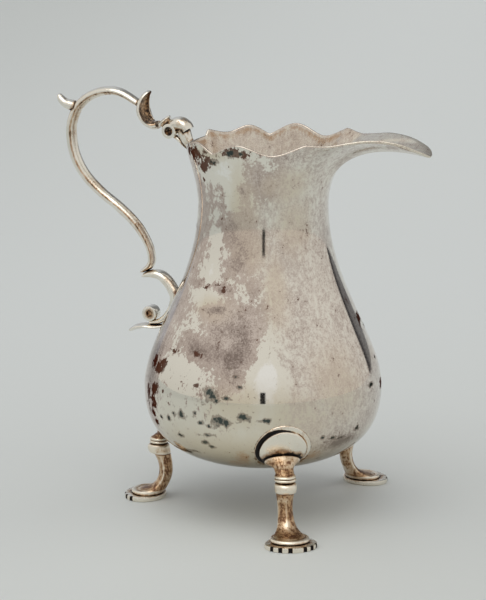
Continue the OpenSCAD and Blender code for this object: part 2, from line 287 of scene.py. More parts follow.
COLUMNS = 352
LIP_ROWS = 40
EDGE_ROWS = 5
DENT_DEPTH = 0.035
# How much further apart the points are inside the body than outside
INNER_SPACING = 2.2


def column_angles():
    """Angles round the body, closer together towards the front and most at the spout."""
    a = np.linspace(-180, 180, 3601)
    front = smoothstep(-165, -145, a) * (1 - smoothstep(0, 20, a))
    density = 1 + 1.4 * front + 2.5 * np.exp(-(a / 14) ** 2)
    run = np.r_[0, np.cumsum((density[1:] + density[:-1]) / 2)]
    return np.interp(np.arange(COLUMNS) / COLUMNS * run[-1], run, a) % 360


def dents(degrees, heights):
    """Slight unevenness left by the hammer, in millimetres."""
    draw = np.random.default_rng(11)
    a = np.radians(degrees)
    total = np.zeros(np.broadcast(a, heights).shape)
    for lobes in (2, 3, 5, 7, 9, 12):
        for rise in (0.06, 0.14, 0.24):
            size = draw.uniform(0.3, 1) / (1 + lobes * 0.12 + rise * 4)
            total += size * np.sin(lobes * a + draw.uniform(0, 6.28)) * np.sin(rise * heights
                                                                             + draw.uniform(0, 6.28))
    return DENT_DEPTH * total


def make_body():
    angles = column_angles()
    z = BELLY_LINE[:, 1]
    spacing = 0.42 + 0.5 * smoothstep(20, 14, z) + 0.2 * smoothstep(48, 60, z)
    outer = along(BELLY_LINE, spacing)[1:-1]
    inner = along(BELLY_LINE, INNER_SPACING * spacing)[1:-1]
    v_outer = np.linspace(0.0, 1, LIP_ROWS)
    v_inner = np.linspace(0.0, 1, LIP_ROWS * 2 // 3)
    outer_line = np.repeat(outer[None], COLUMNS, 0)
    inner_line = np.repeat((inner - WALL * normals_2d(inner))[None], COLUMNS, 0)

    def lip_with_normals(v):
        lines = lip_lines(angles, v)
        ahead = lip_lines(angles, np.minimum(v + 0.01, 1)) - lip_lines(angles, v - 0.01)
        ahead /= np.linalg.norm(ahead, axis=2, keepdims=True)
        return lines, ahead, joined(-ahead[..., 1], ahead[..., 0])

    lip_out, tangent, inward = lip_with_normals(v_outer)
    lip_in, _, inward_in = lip_with_normals(v_inner)
    lip_in = lip_in + WALL * inward_in
    # The rounded edge of the rim, inside the height of the cut rim
    t, n = tangent[:, -1:, :], inward[:, -1:, :]
    top = lip_out[:, -1:, :] - t * WALL / 2
    lip_out = lip_out - smoothstep(0.9, 1, v_outer)[None, :, None] * t * WALL / 2
    lip_in = lip_in - smoothstep(0.9, 1, v_inner)[None, :, None] * t * WALL / 2
    turns = np.linspace(0, math.pi, EDGE_ROWS + 2)[1:-1][None, :, None]
    edge = top + n * WALL / 2 + WALL / 2 * (-np.cos(turns) * n + np.sin(turns) * t)

    rows = np.concatenate([outer_line, lip_out, edge, lip_in[:, ::-1], inner_line[:, ::-1]], 1)
    rows[..., 0] += dents(angles[:, None], rows[..., 1]) * smoothstep(12, 20, rows[..., 0])
    a = np.radians(angles)[:, None]
    points = joined(rows[..., 0] * np.cos(a), rows[..., 0] * np.sin(a), rows[..., 1])
    rings = np.transpose(points, (1, 0, 2))
    flat = np.vstack([rings.reshape(-1, 3), [0, 0, BASE_Z], [0, 0, BASE_Z + WALL]])
    body = make_object(flat, closed_faces(len(rings), COLUMNS))
    add_body_fields(body, np.arange(len(flat)) < (outer.shape[0] + LIP_ROWS) * COLUMNS)
    return body


def axis_points(obj):
    """A piece's points in millimetres about the body's axis."""
    co = np.zeros(len(obj.data.vertices) * 3, np.float32)
    obj.data.vertices.foreach_get("co", co)
    return (co.reshape(-1, 3) / MM - [AXIS[0], AXIS[1], 0]).T


def add_field(obj, name, values):
    field = obj.data.attributes.new(name, "FLOAT", "POINT")
    field.data.foreach_set("value", np.ascontiguousarray(values, np.float32))


# ---------- where the body is stained ----------

# Places on the body: angle from the spout, height, and the half size of each, in degrees and millimetres.
# Nearly black spots:
DARK = [
    (-93, 37.1, 3.9, 1.8), (-89, 35.4, 2, 0.5), (-84, 36.2, 2.4, 0.4), (-88, 30.6, 3.6, 1.5),
    (-84, 30, 2, 1.2), (-76.5, 31.5, 2.8, 1.2), (-66.3, 30.9, 4, 0.6), (-109, 30.4, 2.2, 1.1),
    (-114.3, 30.4, 1.6, 0.6), (-118.5, 28.6, 1.4, 0.7), (-125.5, 28.1, 1.8, 0.5), (-100.8, 31.5, 1.5, 0.8),
    (-98, 29.2, 1.6, 0.6), (-93.5, 28.7, 1.3, 0.5), (-94.1, 26, 3.4, 0.55), (-97.4, 23.9, 2.4, 0.7),
    (-93.5, 22.8, 1.8, 0.45), (-112.4, 24.6, 1.8, 0.6), (-109, 20.1, 4, 0.5), (-115.8, 19.4, 4, 0.4),
    (-36.3, 25.3, 1.8, 0.5), (-30.2, 24.6, 2.2, 0.5), (-25, 24.2, 2.6, 0.4), (-19, 23.4, 2.2, 0.4),
    (-13.6, 26, 1.8, 0.8), (-2.5, 36, 3, 0.7), (-108, 94, 4.5, 0.8), (-92, 96.9, 4.5, 0.7),
    (-84, 96.8, 2.6, 0.6), (-84, 43.5, 1.2, 0.4), (-80.5, 41.6, 1.5, 0.5), (-78, 39.2, 1.4, 0.5),
]
# Brown and purple-brown stains:
BROWN = [
    (-131.9, 35, 3, 1.4), (-133, 32, 3.5, 1), (-132.4, 30.3, 2.5, 0.6), (-134.1, 28.2, 3, 0.7),
    (-131.9, 25.9, 2.4, 0.6), (-126.9, 41.2, 2.6, 1.4), (-131.3, 40.3, 4, 1.3), (-123, 35.3, 1.2, 0.5),
    (-100.8, 38.7, 1.6, 0.7), (-132, 95.4, 12, 1.7), (-121, 92.6, 6, 1.3), (-112, 94.2, 6, 0.8),
    (-88, 97, 9, 1.2), (-124.7, 88.6, 3.2, 0.6), (-113, 61.8, 3, 0.35), (-110, 62.6, 2, 0.35),
    (-101, 63, 1.8, 0.4), (-95.5, 61.6, 2.2, 0.5), (-104, 45.9, 3, 0.5), (-122.5, 45.5, 3, 0.4),
    (-138, 41, 3, 1.5), (-139, 33, 3, 2), (-66, 19.5, 5, 1.6), (-47, 19, 4, 1.2),
]
# Where the film is thicker (above 0) or worn away (below 0), with the amount last:
FILM = [
    (-112, 62.2, 7, 0.8, 0.9), (-95.5, 61.6, 4.5, 0.9, 0.9), (-104, 56.7, 7, 1, 0.7),
    (-97, 57.3, 5, 0.8, 0.6), (-105, 46, 6, 1, 0.8), (-86, 46.5, 8, 2.5, 0.1), (-82, 42, 5, 2.5, 0.3),
    (-86, 87, 3, 1.4, 0.6), (-100, 71.5, 3, 1.4, -0.6), (-91, 64, 4, 0.9, -0.6), (-84, 62.5, 6, 0.8, -0.5),
    (-121, 66, 3, 2.5, -0.35), (-84, 44.5, 9, 4.5, 0.62), (-80, 39.5, 4.5, 2.2, 0.6),
    (-92, 53, 20, 4.2, 0.45), (-76, 50, 7, 4, 0.4), (-107, 47.5, 7, 1.2, 0.5), (-114, 49, 6, 1, 0.45),
    (-97, 69, 6, 3.6, 0.45), (-86, 67.5, 5, 4, 0.5), (-92, 75, 9, 2.4, 0.3), (-117, 86.4, 3.2, 2, 0.6),
    (-104, 87, 4, 2, 0.55), (-107, 82.4, 7, 1.1, 0.6), (-106, 78, 5, 0.8, 0.5), (-94, 78, 4, 1.8, 0.55),
    (-84, 82.5, 5, 2.4, 0.45), (-84, 87, 4, 1.6, 0.45), (0, 48, 12, 22, 0.2), (-71.5, 91.5, 4.6, 3, 0.75),
    (-80.5, 92.6, 4, 2.8, 0.6), (-62, 88.5, 8, 3, 0.5), (-132, 86.8, 4, 1.8, 0.5), (-126, 81, 7, 5, 0.3),
    (-49, 96.2, 9, 1.5, 0.65), (-136, 37, 7, 9, 1.0), (-105, 60, 14, 10, -0.16), (-112, 78, 10, 9, -0.12),
    (-24, 22.6, 11, 1.9, 1.4), (-88, 68, 22, 9, 0.15), (-95, 38, 6, 3, 0.35), (-130, 55, 12, 6, 0.2),
    (-64, 46, 5, 7, -0.95), (-67, 40.5, 6, 4.5, -0.8), (-110.5, 67, 4, 5.5, -0.85),
    (-101, 65.5, 12, 1.5, -0.5), (-109, 72.5, 5, 2.4, -0.6), (-111, 58.6, 8, 1.8, -0.75),
    (-98, 60, 10, 1, -0.5), (-114, 80, 5, 1.6, -0.6), (-96, 85, 5.5, 5, -0.6), (-103, 91, 14, 2, -0.6),
    (-95, 94, 8, 1.8, -0.6), (-112, 75.5, 6, 1, -0.6), (-119, 43.5, 9, 2.2, -0.6), (-75, 60, 9, 1.4, -0.4),
    (-66, 65, 9, 2.4, -0.3), (-128, 50.8, 9, 0.8, -0.5), (-126, 91, 12, 1, -0.5), (-113, 97, 9, 1.2, -0.5),
    (-72, 96, 7, 1.6, -0.4), (-90, 84, 4, 4, -0.35), (-117, 53, 6, 2, -0.55), (-106, 52, 4, 1.4, -0.5),
    (-122, 48, 5, 1.4, -0.55), (-98, 55, 5, 1, -0.4), (-88, 50, 4, 1.6, -0.4), (-124, 60, 4, 2, -0.45),
    (-92, 70.5, 5, 1, -0.45),
]
# A warmer, yellower film:
TAN = [
    (-60.5, 88.5, 9, 2.6), (-112, 96, 16, 1.6), (-40, 78, 16, 7), (-100, 57, 14, 3), (-75, 72, 12, 6),
    (-28, 38, 16, 9), (-58, 62, 8, 9), (-58, 20, 40, 8), (-90, 20, 45, 7), (-50, 30, 20, 8),
    (-45, 88, 16, 5), (-80, 34, 14, 6), (-84, 80, 12, 13),
]

# Rust-brown stains beside the front leg's disc:
RUST = [(-78, 19.5, 4.5, 2.6), (-84, 17.5, 8, 1.5), (-39, 19.5, 6, 1.6), (-45, 17, 8, 1.5)]


def back_places(count, low, high, half_angle, half_height, seed, amount=None):
    """Places scattered over the side of the body that faces away."""
    draw = np.random.default_rng(seed)
    places = []
    for _ in range(count):
        place = (draw.uniform(14, 206), draw.uniform(low, high), draw.uniform(0.4, 1) * half_angle,
                 draw.uniform(0.4, 1) * half_height)
        places.append(place + (amount,) if amount else place)
    return places


DARK += back_places(34, 18, 42, 3.2, 1.2, 3) + back_places(9, 84, 97, 5, 1, 4)
BROWN += back_places(30, 19, 97, 6, 1.2, 5)
FILM += back_places(26, 24, 95, 16, 4, 6, 0.4) + back_places(40, 22, 96, 10, 3, 7, -0.55)
TAN += back_places(14, 30, 95, 16, 6, 8)


def nearness(degrees, heights, place):
    """1 in the middle of a place, one half at its edge, falling to 0 away from it."""
    gap = (degrees - place[0] + 180) % 360 - 180
    return np.exp(-0.693 * ((gap / place[2]) ** 2 + ((heights - place[1]) / place[3]) ** 2) ** 0.8)


def spot_field(degrees, heights, places):
    field = np.zeros(len(degrees))
    for place in places:
        field = np.maximum(field, nearness(degrees, heights, place))
    return field


def film_field(degrees, heights):
    """How much film there is: it shows above one half, and well below 0 the silver is at its whitest."""
    field = np.full(len(degrees), 0.74)
    above = smoothstep(80, 85, heights)
    field -= 0.36 * above * smoothstep(-132, -124, degrees) * smoothstep(-50, -65, degrees)
    low_front = smoothstep(46, 41, heights) * smoothstep(-48, -64, degrees) * smoothstep(-140, -130, degrees)
    field += (0.12 - field) * low_front
    right = smoothstep(-68, -50, degrees) * smoothstep(25, 15, degrees)
    field -= right * (0.14 * above + 0.3 * smoothstep(27, 21, heights))
    for place in FILM:
        field += place[4] * nearness(degrees, heights, place)
    return field


def add_body_fields(body, outside):
    """Marks each of the body's points with its stains. outside is True for the points on its outer side."""
    x, y, z = axis_points(body)
    degrees = np.degrees(np.arctan2(y, x))
    # Inside there is film all over, more of it in the cup than in the spout, and a brown band just under the
    # rim, whose edge itself is rubbed clean
    cup = smoothstep(12, 40, np.abs(degrees))
    around = np.arange(0.0, 361)
    below_rim = np.interp(degrees % 360, around, rim(around)[:, 1]) - z
    band = 0.8 * smoothstep(3.4, 1.0, below_rim) * smoothstep(0.2, 0.8, below_rim)
    band *= smoothstep(25, 45, np.abs(degrees))
    # The film is thin and finely grained on the spout's side, from a line that wanders up the front
    start = -72 - 12 * smoothstep(56, 76, z) + 22 * smoothstep(81, 87, z)
    grain = smoothstep(start, start + 18, degrees) * smoothstep(45, 20, degrees)
    fields = {
        "dark": (spot_field(degrees, z, DARK), 0),
        "brown": (spot_field(degrees, z, BROWN), 0),
        "tan": (spot_field(degrees, z, TAN), 0.6),
        "rust": (spot_field(degrees, z, RUST), band),
        "film": (film_field(degrees, z), 0.42 + 0.4 * cup + 0.2 * smoothstep(97, 100, z) * cup),
        "grain": (grain, 1 - 0.3 * cup),
        "inside": (0, 1),
    }
    for name, (on_outside, on_inside) in fields.items():
        add_field(body, name, np.where(outside, on_outside, on_inside))


# ---------- legs ----------

OVAL_SIDES = 64


def oval(key):
    """A ring at a height, from its inner to its outer reach, with a width and a power (2 is an oval)."""
    z, inner, outer, width, power = key
    a = circle(OVAL_SIDES)
    across, along_width = (np.sign(x) * np.abs(x) ** (2 / power) for x in (np.cos(a), np.sin(a)))
    return joined((inner + outer) / 2 + (outer - inner) / 2 * across, width / 2 * along_width, z)


def reached(key, reach):
    out = (reach - DRAWN_REACH) * (1 - REACH_FADE * key[0])
    return (key[0], key[1] + out, key[2] + out, key[3], key[4])


def onto_belly(points, height):
    """Points moved along the disc's axis until they stand height above the belly."""
    tilt = math.radians(DISC_TILT)
    axis = np.array([math.cos(tilt), 0, -math.sin(tilt)])
    points = np.asarray(points, float)
    low, high = np.full(points.shape[:-1], -8.0), np.full(points.shape[:-1], 8.0)
    for _ in range(40):
        middle = (low + high) / 2
        x, y, z = np.moveaxis(points + middle[..., None] * axis, -1, 0)
        out = np.hypot(x, y) > belly_radius(z)
        high = np.where(out, middle, high)
        low = np.where(out, low, middle)
    return points + (low + height)[..., None] * axis


DISC_SIDES = 128


def make_disc(turn):
    """A domed disc on the belly, with a thin flange round it."""
    # Its outline from its middle to its edge, and back under it: radius and height
    edge = DISC_T - 0.12
    outline = [(0.02, DISC_T), (1.5, DISC_T), (3, DISC_T - 0.02), (4.5, DISC_T - 0.06), (5.3, edge)]
    outline += [(DISC_R + out, edge + up) for out, up in ((-0.3, -0.08), (-0.1, -0.22), (0, -0.45))]
    outline += [(DISC_R + out, FLANGE_T + up) for out, up in (
        (0.05, -0.1), (0.15, -0.1), (0.3, -0.02), (0.45, 0), (0.6, 0), (0.75, 0), (0.9, -0.01))]
    outline += [(FLANGE_R - 0.1, FLANGE_T - 0.08), (FLANGE_R, 0.02), (FLANGE_R - 0.1, -0.25), (3, -0.25),
                (0.02, -0.25)]
    tilt = math.radians(DISC_TILT)
    a = circle(DISC_SIDES)
    across, along_disc = np.cos(a), np.sin(a)
    rings = []
    for r, h in outline:
        flat = joined(DISC_CENTRE[0] + r * along_disc * math.sin(tilt), r * across,
                      DISC_CENTRE[1] + r * along_disc * math.cos(tilt))
        rings.append(onto_belly(flat, h))
    disc = skin(turned(rings, turn), sharp=50)
    # A black crescent of painted shade lies on one side of the flange, and a thin dark line runs on round
    # the disc and the flange
    wide = smoothstep(0.5, -0.75, across)[None, :] - 0.08
    radius = np.array([r for r, _ in outline])[:, None]
    on_flange = (radius > DISC_R - 0.05) & (np.arange(len(outline))[:, None] > 6)
    shade_crescent = smoothstep(wide + 0.16, wide, radius - DISC_R)
    lines = (np.exp(-((radius - line_r) / 0.12) ** 2) for line_r in (DISC_R + 0.1, FLANGE_R))
    tarnish_and_painted_dark = on_flange * np.maximum(np.maximum(shade_crescent, 0.45 * np.maximum(*lines)), 0.25)
    add_field(disc, "tarnish_and_painted_dark", np.r_[tarnish_and_painted_dark.ravel(), 0, 0])
    return disc


COLLAR_KEYS = [
    (14.95, 27.1, 30.7, 3.9, 2), (15.05, 26.7, 31.05, 4.7, 2), (15.3, 26.45, 31.3, 5.4, 2),
    (15.55, 26.4, 31.4, 5.65, 2), (15.8, 26.5, 31.3, 5.4, 2), (15.93, 26.65, 31.0, 4.95, 2),
    (16.1, 26.45, 31.25, 5.35, 2), (16.35, 26.35, 31.3, 5.5, 2), (16.6, 26.3, 31.05, 5.2, 2),
    (16.85, 26.3, 30.6, 4.8, 2), (17.3, 26.0, 30.1, 4.75, 2), (17.9, 25.3, 29.2, 5.0, 2),
]
FLARE_CENTRE, FLARE_HALF = (26.8, 18.5), (2.6, 4.5)
FLARE_STEPS = 14


def make_collar(turn, reach):
    """A waisted collar, with a bead at its foot, that flares out onto the disc."""
    rings = [oval(reached(key, reach)) for key in catmull(COLLAR_KEYS, 3)]
    low = rings[-1]
    tilt = math.radians(DISC_TILT)
    out = (reach - DRAWN_REACH) * 0.25
    a = circle(OVAL_SIDES)
    middle = np.array([FLARE_CENTRE[0] + out, 0, FLARE_CENTRE[1]])
    flat = joined(FLARE_HALF[0] * np.cos(a) * math.sin(tilt), FLARE_HALF[1] * np.sin(a),
                  FLARE_HALF[0] * np.cos(a) * math.cos(tilt))
    lip = onto_belly(middle + flat, DISC_T + 0.42)
    for t in np.linspace(0, 1, FLARE_STEPS + 1)[1:]:
        grow = t ** 1.6
        rings.append(low + (lip - low) * np.array([grow, grow, t]))
    # The flare's rounded edge, and its underside on the disc
    for share, height in ((1.02, DISC_T + 0.25), (1.0, DISC_T + 0.05), (0.97, 0.1), (0.5, -0.1)):
        rings.append(onto_belly(middle + flat * share, height))
    collar = skin(turned(rings, turn), sharp=60)
    # The bead is lighter: rubbed clean, and a painted highlight
    add_field(collar, "rubbed_and_highlit", smoothstep(16.9, 16.5, axis_points(collar)[2]))
    return collar


LEG_KEYS = [
    (1.36, 28.1, 36.2, 9.6, 2), (1.5, 27.95, 36.5, 9.9, 2), (1.75, 27.85, 36.6, 10, 2),
    (2.1, 27.8, 36.45, 9.85, 2), (2.3, 27.75, 36.1, 9.5, 2), (2.25, 27.7, 35.6, 8.9, 2),
    (2.15, 27.6, 35.1, 8.3, 1.95), (2.35, 27.4, 34.3, 7.7, 1.9), (3.0, 27.0, 32.2, 6.2, 1.8),
    (4.0, 26.4, 30.5, 4.9, 1.6), (5.6, 25.7, 29.4, 4.2, 1.5), (7.4, 25.3, 29.0, 3.9, 1.5),
    (9.2, 25.3, 29.1, 4.0, 1.5), (10.8, 25.5, 29.6, 4.35, 1.6), (11.9, 25.75, 30.1, 4.65, 1.75),
    (12.2, 25.85, 30.3, 4.75, 1.85), (12.35, 25.8, 30.9, 5.2, 2), (12.6, 25.85, 31.5, 5.5, 2),
    (13.3, 26.0, 31.9, 5.65, 2), (14.1, 26.1, 31.95, 5.65, 2), (14.6, 26.25, 31.7, 5.4, 2),
    (14.85, 26.7, 31.1, 4.9, 2),
]


def make_leg(turn, reach):
    """A cabriole shaft with a boss at its top and a ledge at its foot."""
    rings = [oval(reached(key, reach)) for key in catmull(LEG_KEYS, 5)]
    shaft = skin(turned(rings, turn), sharp=60)
    z = axis_points(shaft)[2]
    # The boss at the top and the ledge at the bottom are lighter: rubbed clean, and a painted highlight
    add_field(shaft, "rubbed_and_highlit", smoothstep(12.0, 12.5, z) + smoothstep(2.5, 2.2, z))
    return shaft


PAD_HALF_W, PAD_HALF_L, PAD_T = 6.7, 5.4, 1.3
NOTCHES = [-5.5, -3.6, -1.1, 2.8, 4.7, 6.2]
NOTCH_R = 0.42
NOTCH_SIDES = 16
PAD_SIDES = 96


def notch_cutter(centre):
    """An upright rod that cuts one notch."""
    a = circle(NOTCH_SIDES)
    ring = joined(centre[0] + NOTCH_R * np.cos(a), centre[1] + NOTCH_R * np.sin(a), 0.0)
    return skin([ring - [0, 0, 1], ring + [0, 0, PAD_T + 1]])


def make_pad(turn, reach):
    """A round foot with notches filed along its toe."""
    a = circle(PAD_SIDES)
    # Inset and height of each ring, from the underside's middle over the edge to the top's middle
    steps = [(5.2, 0.12), (2.5, 0.08), (0.6, 0.0), (0.2, 0.03), (0.05, 0.14), (0, 0.4), (0, PAD_T - 0.4),
             (0.06, PAD_T - 0.12), (0.22, PAD_T - 0.02), (0.6, PAD_T), (2.5, PAD_T), (5.2, PAD_T)]
    rings = [joined(reach + (PAD_HALF_L - inset * PAD_HALF_L / PAD_HALF_W) * np.cos(a),
                    (PAD_HALF_W - inset) * np.sin(a), z) for inset, z in steps]
    pad = skin(turned(rings, turn))
    spots = [(reach + PAD_HALF_L * math.sqrt(1 - (y / PAD_HALF_W) ** 2), y, 0) for y in NOTCHES]
    spots = turned(spots, turn)
    pad = combine(pad, [notch_cutter(spot) for spot in spots], "DIFFERENCE")
    x, y, _ = axis_points(pad)
    notch = np.zeros(len(x))
    for spot in spots:
        notch = np.maximum(notch, np.hypot(x - spot[0], y - spot[1]) < NOTCH_R + 0.03)
    add_field(pad, "tarnish_and_painted_dark", notch)
    return pad


# ---------- handle ----------

BAR_SIDES = 32
# How far a rounded end reaches back, as a share of the bar's thickness
ROUND_OFF = 0.3
PIN_SIDES = 64
# Which ends of a bar are cut flat, its first and its last
BOTH_FLAT, START_ROUND, END_ROUND = (True, True), (False, True), (True, False)
across, upward = np.cos(circle(BAR_SIDES)), np.sin(circle(BAR_SIDES))
ROUND_SECTION = joined(across, upward)
# A section with a slight ridge along each side
RIDGE_SECTION = np.sign(ROUND_SECTION) * np.abs(ROUND_SECTION) ** 1.12
# A section hollowed out on one side, with its back first and then its hollow
back = np.radians(np.arange(180, -1, -10))
hollow = back[::-1]
SCOOP_SECTION = np.vstack([joined(np.sin(back), np.cos(back)),
                           joined(0.74 * np.sin(hollow) ** 0.8 - 0.05, 0.84 * np.cos(hollow))])
# The same without its hollow
FILLED_SECTION = np.vstack([SCOOP_SECTION[:len(back)], joined(-0.8 * np.sin(hollow), np.cos(hollow))])


def bar(keys, section=ROUND_SECTION, steps=8, butt=BOTH_FLAT, sharp=None, last=None):
    """A bar along the keys (distance from the axis, height, thickness, width), in the handle's plane.

    butt says for each end whether it is cut flat, to meet another piece, and not rounded off. Where last is
    given, the section changes into it over the bar's second half."""
    path = catmull(keys, steps)
    step = np.gradient(path[:, :2], axis=0)
    step /= np.linalg.norm(step, axis=1, keepdims=True)
    side = joined(-step[:, 1], step[:, 0])
    run = np.r_[0, np.cumsum(np.linalg.norm(np.diff(path[:, :2], axis=0), axis=1))]
    reach = [0 if flat else ROUND_OFF * path[i, 2] for flat, i in zip(butt, (0, -1))]
    rings = []

    def ring(i, shrink, ahead):
        p = path[i, :2] + step[i] * ahead
        shape = section
        if last is not None:
            shape = section + (last - section) * smoothstep(0.5, 0.9, i / len(path))
        q = shape * [path[i, 2] / 2 * shrink, path[i, 3] / 2 * shrink]
        rings.append(joined(-p[0] - side[i, 0] * q[:, 0], q[:, 1], p[1] + side[i, 1] * q[:, 0]))

    turns = np.linspace(0, math.pi / 2, 6)[:-1]
    if not butt[0]:
        for turn in turns:
            ring(0, max(0.08, math.sin(turn)), reach[0] * (1 - math.cos(turn)))
    for i in range(len(path)):
        if reach[0] <= run[i] <= run[-1] - reach[1]:
            ring(i, 1, 0)
    if not butt[1]:
        for turn in turns[::-1]:
            ring(len(path) - 1, max(0.08, math.sin(turn)), -reach[1] * (1 - math.cos(turn)))
    return skin(rings, sharp)


def pin(centre, radius, length, dip):
    """A short round piece across the handle's plane, with a recess of dip (radius, depth) in each face."""
    half = length / 2
    round_off = 0.12
    r, depth = dip
    recess = [(0.02, depth - half), (r - 0.1, depth - half), (r, depth - half - 0.1), (r, 0.06 - half),
              (r + 0.05, -half)]
    low = recess + [(radius - round_off, -half), (radius - 0.03, 0.04 - half), (radius, round_off - half)]
    outline = low + [(r, -z) for r, z in low[::-1]]
    a = circle(PIN_SIDES)
    rings = [joined(r * np.cos(a) - centre[0], -z, r * np.sin(a) + centre[1]) for r, z in outline]
    return skin(rings, sharp=40)


def make_handle_collar():
    """A thin flange and a narrower neck, between the leaf and the knuckle."""
    outline = [(0.02, -0.6), (2.0, -0.6), (2.1, -0.5), (2.1, -0.2), (2.0, -0.1), (1.55, -0.05), (1.5, 0.1),
               (1.5, 0.75), (0.02, 0.75)]
    a = circle(PIN_SIDES)
    lean = math.radians(COLLAR_LEAN)
    rings = []
    for r, h in outline:
        across, up = r * np.cos(a), r * np.sin(a)
        rings.append(joined(across * math.cos(lean) + h * math.sin(lean) - COLLAR_CENTRE[0], up,
                            h * math.cos(lean) - across * math.sin(lean) + COLLAR_CENTRE[1]))
    return skin(rings, sharp=40)


def belly_cutter():
    """A solid of the belly's outer shape, grown by the solder seam."""
    line = BELLY_LINE[::8]
    line = line + SEAM * normals_2d(line)
    line[:, 0] = np.maximum(line[:, 0], 0.02)
    a = circle(CUTTER_SIDES)
    rings = [joined(r * np.cos(a), r * np.sin(a), z) for r, z in line]
    return skin(rings)


MAIN_KEYS = [
    (35.3, 105.0, 1.9, 3.2), (40.3, 107.5, 2.3, 3.6), (44.6, 107.9, 2.3, 3.7), (49.3, 106.4, 2.4, 3.6),
    (53.1, 103.2, 2.6, 3.6), (55.0, 98.8, 2.7, 3.6), (55.1, 94.4, 2.8, 3.7), (53.9, 89.5, 2.8, 3.8),
    (51.2, 85.1, 2.7, 3.8), (46.8, 81.0, 2.6, 3.7), (40.7, 76.7, 2.6, 3.5), (36.1, 72.6, 2.5, 3.4),
    (33.0, 68.0, 2.2, 3.3), (31.9, 64.4, 2.0, 3.3), (32.4, 62.1, 1.8, 3.6), (34.8, 60.3, 0.9, 3.6),
]
SPUR_KEYS = [
    (53.9, 103.3, 2.7, 3.3), (55.4, 103.55, 2.8, 3.3), (57.0, 104.05, 2.4, 3.0), (58.2, 105.1, 1.9, 2.5),
    (58.85, 106.3, 1.1, 1.4),
]
LEAF_KEYS = [
    (32.0, 108.4, 1.2, 2.2), (33.1, 107.1, 2.2, 4.6), (33.8, 105.2, 2.8, 6.6), (33.8, 103.1, 3.0, 7.6),
    (32.8, 100.95, 2.8, 6.8), (31.1, 99.75, 2.6, 5.2), (29.8, 99.85, 2.3, 4.0),
]
ARCH_KEYS = [
    (26.9, 98.9, 2.4, 4.2), (25.7, 99.7, 3.2, 4.5), (24.5, 100.3, 3.5, 4.7), (23.2, 100.4, 3.6, 4.8),
    (21.9, 99.7, 3.4, 4.8), (21.2, 98.8, 3.0, 4.6),
]
BRACKET_KEYS = [
    (22.6, 99.0, 3.2, 4.2), (22.1, 97.7, 3.2, 4.0), (21.5, 96.3, 3.0, 3.6), (20.8, 95.1, 2.5, 3.0),
    (20.1, 94.2, 1.8, 2.4),
]
STRUT_KEYS = [
    (25.0, 97.0, 1.1, 1.6), (23.6, 95.9, 1.1, 1.6), (22.2, 94.8, 1.0, 1.6), (20.8, 93.8, 0.9, 1.5),
    (19.4, 93.0, 0.7, 1.4),
]
LOWER_KEYS = [
    (34.3, 59.2, 1.0, 3.8), (32.2, 59.9, 2.0, 4.0), (29.3, 59.7, 2.6, 4.1), (26.8, 57.6, 2.8, 4.1),
    (25.2, 54.7, 2.8, 4.0), (25.6, 52.0, 2.4, 3.7), (27.3, 49.2, 1.9, 3.4), (29.6, 47.4, 1.4, 3.2),
    (32.2, 46.9, 1.0, 3.1),
]
TAIL_KEYS = [
    (27.4, 46.3, 1.0, 3.0), (31.0, 45.75, 1.2, 4.2), (33.8, 45.8, 1.3, 5.0), (36.4, 45.2, 1.3, 4.2),
    (38.6, 44.0, 0.8, 1.6),
]
COLLAR_CENTRE, COLLAR_LEAN = (27.8, 100.5), 137.0
EYE_CENTRE, EYE_R, EYE_HOLE = (25.9, 98.5), 1.95, 1.13
ROLL_CENTRE, ROLL_R, ROLL_DIP = (32.2, 49.3), 2.0, 0.7
SEAM = 0.02
CUTTER_SIDES = 192


def make_handle():
    """The handle's nine pieces, by node."""
    knuckle = pin(EYE_CENTRE, EYE_R, 4.6, dip=(EYE_HOLE, 0.8))
    roll = pin(ROLL_CENTRE, ROLL_R, 3.2, dip=(0.8, ROLL_DIP))
    lower = combine(bar(LOWER_KEYS, butt=START_ROUND), [belly_cutter()], "DIFFERENCE")
    pieces = {
        "handle_main_scroll": bar(MAIN_KEYS, RIDGE_SECTION, butt=END_ROUND),
        "handle_spur": bar(SPUR_KEYS, butt=END_ROUND),
        "handle_leaf": bar(LEAF_KEYS, SCOOP_SECTION, butt=START_ROUND, sharp=50, last=FILLED_SECTION),
        "handle_collar": make_handle_collar(),
        "handle_rim_bracket": bar(BRACKET_KEYS),
        "handle_rim_strut": bar(STRUT_KEYS),
        "handle_knuckle": combine(knuckle, [bar(ARCH_KEYS)], "UNION"),
        "handle_lower_scroll": combine(lower, [roll], "UNION"),
        "handle_tail_leaf": combine(bar(TAIL_KEYS, butt=END_ROUND), [belly_cutter()], "DIFFERENCE"),
    }

    scoop_sides = len(SCOOP_SECTION)
    leaf = pieces["handle_leaf"]
    inside = np.arange(len(leaf.data.vertices)) % scoop_sides > scoop_sides // 2
    add_field(leaf, "tarnish_and_painted_dark", 0.58 * inside)
    x, y, z = axis_points(pieces["handle_knuckle"])
    off = np.hypot(x + EYE_CENTRE[0], z - EYE_CENTRE[1])
    add_field(pieces["handle_knuckle"], "tarnish_and_painted_dark", (off < EYE_HOLE + 0.02) * 0.64)
    # The roll's end is brown but for its middle
    x, y, z = axis_points(pieces["handle_lower_scroll"])
    off = np.hypot(x + ROLL_CENTRE[0], z - ROLL_CENTRE[1])
    end = (off < ROLL_R - 0.15) & (np.abs(y) > 1.6 - ROLL_DIP - 0.02)
    add_field(pieces["handle_lower_scroll"], "tarnish_and_painted_dark", end * np.where(off < 0.45, 0.2, 0.6))
    main = pieces["handle_main_scroll"]
    around = 2 * math.pi * (np.arange(len(main.data.vertices)) % BAR_SIDES) / BAR_SIDES
    # A painted reflection: a dark line runs along each side, a little towards the inside of the curve, for
    # the dark gap that the round bar mirrors
    add_field(main, "tarnish_and_painted_dark", 0.6 * np.exp(-((np.cos(around) + 0.3) / 0.24) ** 2))
    return pieces
